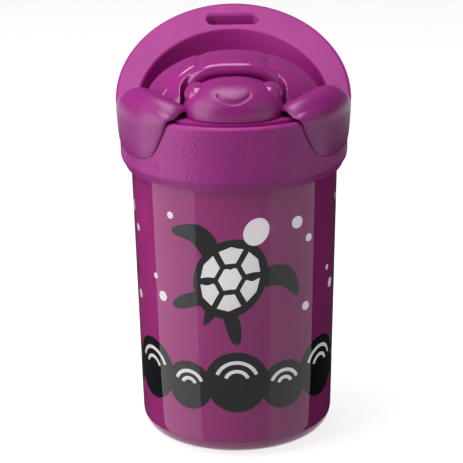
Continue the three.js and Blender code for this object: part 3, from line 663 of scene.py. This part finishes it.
def arcBand(x, z, radius, wide, start, end, steps=22):
    turns = [math.radians(start + (end - start) * i / steps) for i in range(steps + 1)]
    outer = [(x + radius * math.cos(t), z + radius * math.sin(t)) for t in turns]
    inner = [(x + (radius - wide) * math.cos(t), z + (radius - wide) * math.sin(t))
             for t in reversed(turns)]
    return outer + inner


def turtleLoops():
    t = turtleIcon
    heading = math.radians(t["heading"])
    c, n = t["scale"] * math.cos(heading), t["scale"] * math.sin(heading)

    def turned(points):
        return [(t["place"][0] + u * c - v * n, t["place"][1] + u * n + v * c) for u, v in points]

    black = [turned(ellipseLoop(0, 0, *t["shell"], 0, 56)), turned(smoothLoop(t["tail"]))]
    for paddle in t["paddles"]:
        black += [turned(smoothLoop(paddle)), turned(smoothLoop([(u, -v) for u, v in paddle]))]
    reach, along, across = t["head"]
    white = [turned(ellipseLoop(reach, 0, along, across, 0, 36))]
    white.append(turned([(t["middlePlate"] * t["stretch"] * math.cos(math.radians(60 * k)),
                          t["middlePlate"] * math.sin(math.radians(60 * k))) for k in range(6)]))
    for k in range(t["plates"]):
        middle = 360 * (k + 0.5) / t["plates"]
        plate = []
        for radius, side in ((t["plateInner"], -0.8), (t["plateOuter"], -1),
                             (t["plateOuter"] * 1.04, 0), (t["plateOuter"], 1),
                             (t["plateInner"], 0.8)):
            a = math.radians(middle + side * t["plateHalf"])
            plate.append((t["stretch"] * radius * math.cos(a), radius * math.sin(a)))
        white.append(turned(plate))
    return black, white


def makePrint():
    p = printLayout
    girth = 2 * math.pi * printRadius(p["middleZ"]) / p["panels"]
    iconBlack, iconWhite = turtleLoops()
    black, white = [], []
    for shift in (girth * k for k in range(p["panels"])):
        black += [(loop, shift) for loop in iconBlack]
        white += [(loop, shift) for loop in iconWhite]
        white += [(ellipseLoop(x, z, r, r, 0, 28), shift) for x, z, r in bubbles]
        for k in range(scallops["each"]):
            x = girth * (k / scallops["each"] - 0.5)
            z, radius, bands = scallops["sizes"][k % 2]
            black.append((ellipseLoop(x, z, radius, radius, 0, 56), shift))
            for band in bands:
                arc = arcBand(x, z, band, scallops["band"], scallops["from"], scallops["to"])
                white.append((arc, shift))
    printInk("printBlack", black, p["blackLift"], finishes["printBlack"])
    printInk("printWhite", white, p["whiteLift"], finishes["printWhite"])


makePrint()
print("print made")

# collar and hood

collarForm = {
    "footZ": 103.5, "topZ": 127.2, "radius": 41.4, "bore": 38.5, "lipBore": 38.4, "well": 34.7,
    "ledge": (124.0, 125.8), "hoodWall": 2.5, "tilt": 29.0, "planeZ": 125.9,
    "rimRadius": 43.1, "rimY": 5.2, "rimThick": 5.0, "slotHalf": 9.7, "slotY": (37.3, 42.1),
    "slotFlare": 0.7,
}


def rimTop(y):
    return collarForm["planeZ"] + math.tan(math.radians(collarForm["tilt"])) * y


def makeHood():
    # a section of wall and rim swept round the back, sinking into the collar at both ends
    c = collarForm
    steps = 150
    sections = []
    for i in range(steps + 1):
        a = math.radians(84 + 192 * i / steps)  # counted from the front
        dx, dy = math.sin(a), -math.cos(a)
        rimR = dy * c["rimY"] + math.sqrt(c["rimRadius"] ** 2 - (c["rimY"] * dx) ** 2)
        wallR = c["well"] + c["hoodWall"]
        foot = c["ledge"][0] + 0.6

        def top(r):
            return max(foot + 1.0, rimTop(r * dy))

        def under(r):
            return max(foot + 0.5, rimTop(r * dy) - c["rimThick"])

        outline = [
            (c["well"], foot), (wallR, foot), (wallR, under(wallR)),
            (rimR, under(rimR)), (rimR, top(rimR)), (c["well"], top(c["well"])),
        ]
        rounded = roundOff(outline[:2], 0.1, closed=False)
        for k, size, bend in ((1, 1.2, 5), (2, 1.6, 6), (3, 1.6, 6), (4, 1.3, 6)):
            corner = [outline[k], outline[k + 1], outline[(k + 2) % 6]]
            rounded += roundOff(corner, size, bend, closed=False)[1:-1]
        sections.append([(r * dx, r * dy, z) for r, z in rounded])
    count = len(sections[0])
    verts = [v for s in sections for v in s]
    faces = ringFaces(steps + 1, count)
    faces.append(tuple(range(count - 1, -1, -1)))
    faces.append(tuple(range(steps * count, (steps + 1) * count)))
    hood = faceOut(meshPiece("hood", verts, faces, finishes["satinCollar"]))
    cutter = slotCutter()
    cut = hood.modifiers.new("strapSlot", "BOOLEAN")
    cut.object = cutter
    cut.solver = "EXACT"
    settle(hood)
    bpy.data.objects.remove(cutter)
    return keepSharp(hood, 40)


def slotCutter():
    # flares at both faces of the rim, so that the slot's edges come out rounded
    c = collarForm
    front, back = c["slotY"]
    end = (back - front) / 2
    reach = c["slotHalf"] - end
    middle = (front + back) / 2
    thick = c["rimThick"]
    flare = c["slotFlare"]
    levels = [(4.0, 3.0), (0.3, flare + 0.3)]
    for k in range(6):
        t = math.radians(90 * k / 5)
        levels.append((-flare * math.sin(t), flare * (1 - math.sin(t))))
    levels += [(-d - thick, w) for d, w in reversed(levels)]
    verts = []
    ringCount = 40
    for depth, wide in levels:
        for k in range(ringCount):
            t = 2 * math.pi * k / ringCount
            side = reach if math.cos(t) >= 0 else -reach
            x = side + (end - 0.1 + wide) * math.cos(t)
            y = middle + (end - 0.1 + wide) * math.sin(t)
            verts.append((x, y, rimTop(y) + depth))
    rows = len(levels)
    faces = ringFaces(rows, ringCount)
    faces.append(tuple(range(ringCount)))
    faces.append(tuple(range((rows - 1) * ringCount, rows * ringCount)))
    return faceOut(meshPiece("slotCutter", verts, faces, finishes["satinCollar"]))


swirls = {"wire": 0.062, "turns": 1.7, "seed": 11, "rows": [(117.6, 16, 0.0), (109.9, 17, 0.5)],
          "driftX": 1.6, "driftZ": 1.4, "sizes": (3.0, 4.5)}


def makeCollar():
    c = collarForm
    band = [
        (c["bore"], c["footZ"]), (c["radius"] - 1.9, c["footZ"]),
        *arcOf(c["radius"] - 3.2, c["footZ"] + 4.3, 3.2, -42, 0, 8),
        (c["radius"], 115.0),
        *arcOf(c["radius"] - 1.7, c["topZ"] - 1.7, 1.7, 0, 90, 8),
        *arcOf(c["lipBore"] + 1.2, c["topZ"] - 1.2, 1.2, 90, 180, 6),
        (c["lipBore"], c["ledge"][1]), (c["well"], c["ledge"][1]), (c["well"], c["ledge"][0]),
        (c["bore"], c["ledge"][0]),
    ]
    band = lathe("collarBand", band, finishes["satinCollar"], 192)
    onBody(band, "lid", "collar_purple", "collar")
    onBody(makeHood(), "lid", "collar_purple")
    ribs = {**threadForm, **collarThread}
    thread = growTree("collarThread", threadRibs, ribs, finishes["satinCollar"])
    onBody(thread, "lid", "collar_purple")
    draw = random.Random(swirls["seed"])
    driftX, driftZ = swirls["driftX"], swirls["driftZ"]
    spots, sizes, spins = [], [], []
    girth = 2 * math.pi * c["radius"]
    for z, count, offset in swirls["rows"]:
        for k in range(count):
            x = girth * ((k + offset) / count - 0.5) + draw.uniform(-driftX, driftX)
            spots.append((x * mm, (z + draw.uniform(-driftZ, driftZ)) * mm, 0))
            sizes.append(draw.uniform(*swirls["sizes"]) * mm)
            spins.append(draw.uniform(0, 2 * math.pi))
    for name, tree, pick in (("A", leftSpirals, 0), ("B", rightSpirals, 1)):
        facts = {"size": sizes[pick::2], "spin": spins[pick::2]}
        raised = growTree("collarSwirls" + name, tree, {
            "Turns": swirls["turns"], "Inner": 0.16, "Wire": swirls["wire"], "Thin end": 0.8,
            "Flatten": 0.8, "Wall": c["radius"] * mm, "Lift": -0.00002},
            finishes["satinCollar"], spots[pick::2], facts)
        onBody(raised, "lid", "collar_purple")


makeCollar()
print("collar and hood made")

# spout

spoutForm = {"y": -20.0, "flat": 0.7, "top": 135.5, "deckLow": 121.9, "deckHigh": 123.7}


def makeSpout():
    s = spoutForm
    flange = s["deckLow"] - 0.3
    outline = [
        (0, flange - 1.3), *roundOff([(0, flange - 1.3), (11, flange - 1.3), (11, flange),
                                      (7.5, flange)], 0.4, closed=False)[1:],
        (7.5, s["deckHigh"] + 0.3),
        *roundOff([(7.5, s["deckHigh"] + 0.3), (9.2, s["deckHigh"] + 0.5), (8.3, s["deckHigh"] + 3),
                   (7.6, s["deckHigh"] + 7)], 0.5, closed=False)[1:-1],
        (7.6, s["deckHigh"] + 7),
        *arcOf(6.0, s["top"] - 2.1, 2.1, 0, 90, 8), (0, s["top"]),
    ]
    skin = lathe("spoutSkin", outline, finishes["silicone"], 72, s["flat"], s["y"])
    hollow = lathe("spoutHollow", [(0, flange - 3), (5.6, flange - 3), (5.6, s["top"] - 2.6),
                                   (4.6, s["top"] - 1.5), (0, s["top"] - 1.5)],
                   finishes["silicone"], 56, s["flat"] * 0.9, s["y"])
    slit = lathe("spoutSlit", [(0, s["top"] - 4), (2.6, s["top"] - 4), (2.6, s["top"] + 1),
                               (0, s["top"] + 1)], finishes["silicone"], 24, 0.12, s["y"])
    for cutter in (hollow, slit):
        cutter.modifiers.clear()
        cut = skin.modifiers.new("cut", "BOOLEAN")
        cut.object = cutter
        cut.solver = "EXACT"
    settle(skin)
    for cutter in (hollow, slit):
        bpy.data.objects.remove(cutter)
    skin.name = "drinkSpout"
    onBody(keepSharp(skin, 40), "lid", "soft_silicone", "spout")


makeSpout()
print("spout made")

# turtle cap

headForm = {"centre": (0, -23, 129.6), "size": (17.8, 14.6, 11.0), "power": 2.2, "wall": 2.0,
            "rim": 128.3, "smileZ": 135.1, "smileHalf": 5.5, "smileBend": 8.6,
            "smileDeep": 0.75, "smileWide": 0.55}
shellForm = {"centre": (0, 1, 124), "halfWidth": 32.6, "front": 33.0, "back": 22.5,
             "height": 20.4, "wall": 2.0, "rim": 128.3, "voxel": 0.42,
             "seamDeep": 0.55, "seamWide": 0.75, "crown": 0.35, "crownReach": 5}
archForm = {"halfWidth": 18.9, "y": -12.5, "corner": 6.0, "wall": 1.8, "footZ": 126.0,
            "power": 3.0, "ridge": 2.4, "sunk": 1.1, "ridgeHalf": 16.7,
            "ridgeBack": 0.4}
eyeForm = {"centre": (12.7, -22.3, 134.7), "size": (4.8, 6.8, 4.3)}


def headPoint(u, v, grow, carve):
    (cx, cy, cz), size = headForm["centre"], headForm["size"]
    rimAngle = math.radians(90) + math.asin((cz - headForm["rim"]) / size[2])
    t = v * rimAngle
    w = 2 * math.pi * u
    n = Vector((math.sin(t) * math.sin(w), -math.sin(t) * math.cos(w), math.cos(t)))
    power = headForm["power"]
    full = sum(abs(c) ** power for c in n) ** (-1 / power)
    point = Vector([m + c * full * (a + grow) for m, c, a in zip((cx, cy, cz), n, size)])
    if v == 1.0:
        point.z = headForm["rim"]
    if carve and n.y < 0:
        # the smile is an arc pressed into the front of the face
        h = headForm["smileHalf"]
        bend = headForm["smileBend"]
        x = max(-h, min(h, point.x))
        arcZ = headForm["smileZ"] + bend - math.sqrt(bend ** 2 - x ** 2)
        gap = math.hypot(point.x - x, point.z - arcZ)
        point -= n * headForm["smileDeep"] * math.exp(-(gap / headForm["smileWide"]) ** 2)
    return tuple(point)


seams = [  # joints between the plates of the turtle's back, in plan
    ((-12.5, -12), (-13, 3)), ((12.5, -12), (13, 3)), ((-13, 3), (-8, 19)),
    ((13, 3), (8, 19)), ((-13, 3), (13, 3)), ((-13, 3), (-33, -1)), ((13, 3), (33, -1)),
    ((-14, -8), (-25, -15)), ((14, -8), (25, -15)), ((-10.4, 12), (-26, 15)),
    ((10.4, 12), (26, 15)),
]


def seamDepth(x, y):  # a groove along each joint, and plates that crown a little between them
    best = 99.0
    p = Vector((x, y))
    for a, b in seams:
        a, b = Vector(a), Vector(b)
        t = max(0, min(1, (p - a).dot(b - a) / (b - a).length_squared))
        best = min(best, (p - a - (b - a) * t).length)
    groove = shellForm["seamDeep"] * math.exp(-(best / shellForm["seamWide"]) ** 2)
    return groove - shellForm["crown"] * min(1, best / shellForm["crownReach"])


def domeSolid(name, grow, carve, around=180, down=90):
    s = shellForm
    cx, cy, cz = s["centre"]
    verts, faces = [(cx, cy, cz + s["height"] + grow)], []
    if carve:
        verts[0] = (cx, cy, cz + s["height"] + s["crown"])
    for j in range(1, down + 1):
        t = math.pi * 0.62 * j / down
        for k in range(around):
            w = 2 * math.pi * k / around
            y = math.sin(t) * math.sin(w)
            b = (s["front"] if y < 0 else s["back"]) + grow
            n = Vector((math.sin(t) * math.cos(w), y, math.cos(t)))
            point = Vector((cx + (s["halfWidth"] + grow) * n.x, cy + b * n.y,
                            cz + (s["height"] + grow) * n.z))
            if carve:
                fade = min(1, max(0, (point.z - s["rim"] + 1) / 4))
                point -= n * seamDepth(point.x, point.y) * fade
            verts.append(tuple(point))
    for k in range(around):
        n = (k + 1) % around
        faces.append((0, 1 + k, 1 + n))
        for j in range(down - 1):
            a = 1 + j * around
            faces.append((a + k, a + around + k, a + around + n, a + n))
    faces.append(tuple(1 + (down - 1) * around + k for k in range(around)))
    return faceOut(meshPiece(name, verts, faces, finishes["glossCap"]))


def archOutline(grow):
    reach, back = archForm["halfWidth"] + grow, archForm["y"] + grow
    r = archForm["corner"] + grow
    turns = [math.radians(9 * k) for k in range(11)]
    right = [(reach - r + r * math.cos(t), back - r + r * math.sin(t)) for t in turns]
    left = [(-x, y) for x, y in reversed(right)]
    return [(-reach, -60), (reach, -60), *right, *left]


def upright(name, outline, low, high):  # a prism over an outline in plan
    count = len(outline)
    verts = [(x, y, low) for x, y in outline] + [(x, y, high) for x, y in outline]
    faces = [(k, (k + 1) % count, count + (k + 1) % count, count + k) for k in range(count)]
    faces += [tuple(range(count)), tuple(range(count, 2 * count))]
    return faceOut(meshPiece(name, verts, faces, finishes["glossCap"]))


def block(name, low, high):
    corners = [(low[0], low[1]), (high[0], low[1]), (high[0], high[1]), (low[0], high[1])]
    return upright(name, corners, low[2], high[2])


def carve(piece, tool, operation="DIFFERENCE"):
    cut = piece.modifiers.new("carve", "BOOLEAN")
    cut.operation = operation
    cut.object = tool
    cut.solver = "EXACT"
    settle(piece)
    bpy.data.objects.remove(tool)
    return piece


def archRidge():
    # rounded edge of the arch that the head comes out of
    s, f = shellForm, archForm
    share = math.sqrt(1 - ((f["y"] - s["centre"][1]) / s["front"]) ** 2)
    rise = s["centre"][2] + s["height"] * share - f["sunk"] - f["footZ"]
    bend, steps, sides = 2 / f["power"], 80, 20
    path = []
    for i in range(steps + 1):
        t = math.pi * (0.02 + 0.96 * i / steps)
        c = math.cos(t)
        x = math.copysign(abs(c) ** bend, c)
        path.append(Vector((f["ridgeHalf"] * x, f["footZ"] + rise * math.sin(t) ** bend)))
    verts = []
    for i, middle in enumerate(path):
        along = (path[min(i + 1, steps)] - path[max(i - 1, 0)]).normalized()
        for k in range(sides):
            w = 2 * math.pi * k / sides
            reach = f["ridge"] * math.cos(w)
            verts.append((middle.x + along.y * reach,
                          f["y"] + f["ridgeBack"] + f["ridge"] * math.sin(w),
                          middle.y - along.x * reach))
    faces = ringFaces(steps + 1, sides)
    faces.append(tuple(range(sides)))
    faces.append(tuple(range(steps * sides, (steps + 1) * sides)))
    return faceOut(meshPiece("archRidge", verts, faces, finishes["glossCap"]))


def makeTurtleShell():
    # moulded in one: a hollow dome, the arch's wall and its ridge, melted together
    s, f = shellForm, archForm
    shell = domeSolid("turtleShell", 0, True)
    carve(shell, domeSolid("hollow", -s["wall"], False, 120, 60))
    wall = domeSolid("archWall", -0.4, False, 120, 60)
    carve(wall, upright("wallRoom", archOutline(f["wall"]), 100, 160), "INTERSECT")
    carve(shell, wall, "UNION")
    carve(shell, upright("headRoom", archOutline(0), 90, 170))
    carve(shell, archRidge(), "UNION")
    carve(shell, block("below", (-60, -60, 90), (60, 60, s["rim"])))
    carve(shell, block("hingeRoom", (-13.3, 17.5, 100), (13.3, 40, 135.2)))
    melt = shell.modifiers.new("melt", "REMESH")
    melt.mode = "VOXEL"
    melt.voxel_size = s["voxel"] * mm
    soften = shell.modifiers.new("soften", "SMOOTH")
    soften.factor = 0.5
    soften.iterations = 5
    settle(shell)
    shell.data.polygons.foreach_set("use_smooth", [True] * len(shell.data.polygons))
    print("turtle shell faces:", len(shell.data.polygons))
    return shell


def makeEye(side, name, node):
    (x, y, z), (a, b, c) = eyeForm["centre"], eyeForm["size"]

    def lid(grow):
        def point(u, v):
            t, w = v * math.pi * 0.7, 2 * math.pi * u
            return (side * x + (a + grow) * math.sin(t) * math.cos(w),
                    y + (b + grow) * math.sin(t) * math.sin(w),
                    z + (c + grow) * math.cos(t))
        return point

    onBody(shellBetween(name, lid(0), lid(-1.0), finishes["glossCap"], 64, 30),
           "cap", "shell_purple", node)


# flippers

flipperForm = {
    "thick": 1.7, "middle": (58, 0.5),
    "outline": [(30, 0.16), (31, 0.33), (32.5, 0.5), (34.5, 0.66), (37.5, 0.82), (44, 0.95),
                (54, 1), (67, 1), (79, 0.97), (86, 0.88), (87, 0.76), (84.5, 0.62), (80, 0.46),
                (74, 0.3), (69, 0.14), (58, 0.03), (45, 0), (34, 0.03)],
    "shares": [1, 0.985, 0.96, 0.92, 0.86, 0.78, 0.68, 0.56, 0.42, 0.28, 0.14],
}


def smoothStep(x, low, high):
    t = max(0, min(1, (x - low) / (high - low)))
    return t * t * (3 - 2 * t)


def flipperPath(angle):
    rise = smoothStep(angle, 26, 58)
    crest = 130.2 + 2.6 * rise
    knots = [(27.5, 128.4), (31, 129.4 + rise), (35.2, crest), (39, crest - 1.8),
             (41.7, 127.6), (41.8, 122), (41.75, 112)]
    ends = [tuple(2 * Vector(knots[0]) - Vector(knots[1])), *knots,
            tuple(2 * Vector(knots[-1]) - Vector(knots[-2]))]
    line = []
    for i in range(1, len(ends) - 2):
        p0, p1, p2, p3 = (Vector(ends[i + k - 1]) for k in range(4))
        line += [curveAt(p0, p1, p2, p3, k / 12) for k in range(12)]
    line.append(Vector(knots[-1]))
    return line


def flipperPlace(angle, share, thick, side):
    line = flipperPath(angle)
    at = max(0.0, min(1.0, share)) * (len(line) - 1)
    i = min(int(at), len(line) - 2)
    point = line[i].lerp(line[i + 1], at - i)
    ahead = line[min(i + 2, len(line) - 1)] - line[max(i - 1, 0)]
    ahead.normalize()
    r, z = point.x - ahead.y * thick, point.y + ahead.x * thick
    a = math.radians(angle)
    return (side * r * math.sin(a), -r * math.cos(a), z)


def makeFlipper(side, name, node):
    f = flipperForm
    loop = smoothLoop([(a, 100 * s) for a, s in f["outline"]], 7)
    middle = Vector((f["middle"][0], 100 * f["middle"][1]))
    verts, faces = [], []

    def thickAt(p, share):
        wide = 1.5 - 0.75 * smoothStep(p.y, 35, 75)
        return f["thick"] * wide * math.sqrt(max(0, 1 - share ** 5))

    starts = []
    for top in (True, False):
        starts.append(len(verts))
        for share in f["shares"]:
            for edge in loop:
                p = middle.lerp(Vector(edge), share)
                verts.append(flipperPlace(p.x, p.y / 100, thickAt(p, share) if top else 0, side))
        verts.append(flipperPlace(middle.x, middle.y / 100, thickAt(middle, 0) if top else 0, side))
    count = len(loop)
    for base in starts:
        faces += ringFaces(len(f["shares"]), count, base)
        last = base + (len(f["shares"]) - 1) * count
        pole = base + len(f["shares"]) * count
        for k in range(count):
            faces.append((last + k, last + (k + 1) % count, pole))
    paddle = faceOut(meshPiece(name, verts, faces, finishes["satinHead"]))
    onBody(keepSharp(paddle, 70), "cap", "collar_purple", node)


def makeCap():
    head = shellBetween(
        "turtleHead", lambda u, v: headPoint(u, v, 0, True),
        lambda u, v: headPoint(u, v, -headForm["wall"], False), finishes["satinHead"], 300, 150)
    onBody(head, "cap", "collar_purple", "turtle_head")
    onBody(makeTurtleShell(), "cap", "shell_purple", "turtle_shell")
    makeEye(1, "leftEye", "left_eye")
    makeEye(-1, "rightEye", "right_eye")
    makeFlipper(1, "leftFlipper", "left_flipper")
    makeFlipper(-1, "rightFlipper", "right_flipper")


makeCap()
print("turtle cap made")

# finishes of the solids that stay

spring = {"wire": 0.4, "top": 5.7, "foot": 8.9, "turns": 3.0, "z": (7.0, 8.8),
          "anchor": 6.5, "keep": 0.36}


def coilTree():
    # round wire wound on a cone, so that its turns close inside one another
    tree = newTree("springCoil", {
        "Foot radius": 0.009, "Top radius": 0.006, "Turns": 3.0, "Height": 0.002,
        "Foot": 0.007, "Wire": 0.0004})
    start = tree.nodes.new("NodeGroupInput")
    get = start.outputs
    helix = treeNode(
        tree, "GeometryNodeCurveSpiral", Resolution=64, Rotations=get["Turns"],
        Start_Radius=get["Foot radius"], End_Radius=get["Top radius"], Height=get["Height"])
    ring = treeNode(tree, "GeometryNodeCurvePrimitiveCircle", Resolution=12, Radius=get["Wire"])
    wire = treeNode(
        tree, "GeometryNodeCurveToMesh", Curve=helix.outputs[0], Profile_Curve=ring.outputs[0],
        Fill_Caps=True)
    lift = treeNode(tree, "ShaderNodeCombineXYZ", Z=get["Foot"]).outputs[0]
    raised = treeNode(tree, "GeometryNodeTransform", Geometry=wire.outputs[0], Translation=lift)
    return endTree(tree, start, raised.outputs[0])


def makeSpring():
    # the coil that stays on the base cap and closes up as the pad is pushed down, built here at
    # rest
    low, high = spring["z"]
    coil = growTree("releaseCoil", coilTree(), {
        "Foot radius": spring["foot"] * mm, "Top radius": spring["top"] * mm,
        "Turns": spring["turns"], "Height": (high - low) * mm, "Foot": low * mm,
        "Wire": spring["wire"] * mm}, finishes["steel"])
    onBody(coil, "cup", "spring_steel", "release_spring")
    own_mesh(coil)


makeSpring()
print("spring made")

solidFinishes = {
    "base_cap": "deepPlum", "vent_pin": "deepPlum", "vent_tip": "silicone",
    "grip_pad": "gripRubber", "pad_carrier": "deepPlum", "stem_clip": "steel",
    "seal_ring": "silicone", "lid_deck": "satinCollar",
    "valve_cup": "deepPlum", "valve_membrane": "silicone", "air_vent": "silicone",
    "hinge_pin": "steel", "cap_liner": "satinCollar", "spout_plug": "silicone",
}
for node, finish in solidFinishes.items():
    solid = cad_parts[node]
    for holder in solid.material_slots:
        holder.material = finishes[finish]
    solid.data.polygons.foreach_set("use_smooth", [True] * len(solid.data.polygons))
    weld = solid.modifiers.new("weld", "WELD")
    weld.merge_threshold = 1e-6
    crease = solid.modifiers.new("crease", "EDGE_SPLIT")
    crease.split_angle = math.radians(32)
print("solids finished")

# floor

floorForm = {"half": 6.0, "z": -0.0002, "glow": 0.80}


def makeFloor():
    h, z = floorForm["half"], floorForm["z"]
    pale = newFinish("paleFloor", (0.5, 0.5, 0.505), 0.8, Specular_IOR_Level=0.1,
                     Emission_Color=(1, 1, 1, 1), Emission_Strength=floorForm["glow"])
    mottle(pale, (0.5, 0.5, 0.505), 0.02, 6.0)
    floor = meshPiece("floor", [(-h, -h, z), (h, -h, z), (h, h, z), (-h, h, z)],
                      [(0, 1, 2, 3)], pale, scale=1)
    floor.visible_diffuse = False      # its glow is for the eye, and lights nothing
    floor.visible_transmission = False


# Light and dark cards lying round the cup. Only its gloss sees them, as the cards of a
# bottle shot are seen. Each bright one is laid out from the stretch of wall that mirrors it.
cards = {"wall": 37.8, "reach": 430, "steps": 24, "darkZ": 0.3, "brightZ": 0.6,
         "bright": {"leftCard": (-53, -23, 1.55), "middleCard": (-23, 20, 0.62),
                    "rightCard": (20, 51, 1.0)}}


def layCard(name, wallFrom, wallTo, height, finish):
    c = cards
    verts, faces = [], []
    for i in range(c["steps"] + 1):
        normal = math.radians(wallFrom + (wallTo - wallFrom) * i / c["steps"])
        x, y = c["wall"] * math.sin(normal), -c["wall"] * math.cos(normal)
        away = (math.sin(2 * normal) * c["reach"], -math.cos(2 * normal) * c["reach"])
        verts += [(x * 1.03, y * 1.03, height), (x + away[0], y + away[1], height)]
        if i:
            k = 2 * i
            faces.append((k - 2, k - 1, k + 1, k))
    card = meshPiece(name, verts, faces, finish)
    for ray in ("camera", "diffuse", "transmission", "volume_scatter", "shadow"):
        setattr(card, "visible_" + ray, False)


def layCards():
    layCard("darkCard", -90, 90, cards["darkZ"], newFinish("darkCard", (0.02, 0.02, 0.02), 0.9))
    for name, (wallFrom, wallTo, strength) in cards["bright"].items():
        white = newFinish(name, (0, 0, 0), 1.0, Emission_Color=(1, 1, 1, 1),
                          Emission_Strength=strength)
        layCard(name, wallFrom, wallTo, cards["brightZ"], white)


makeFloor()
layCards()
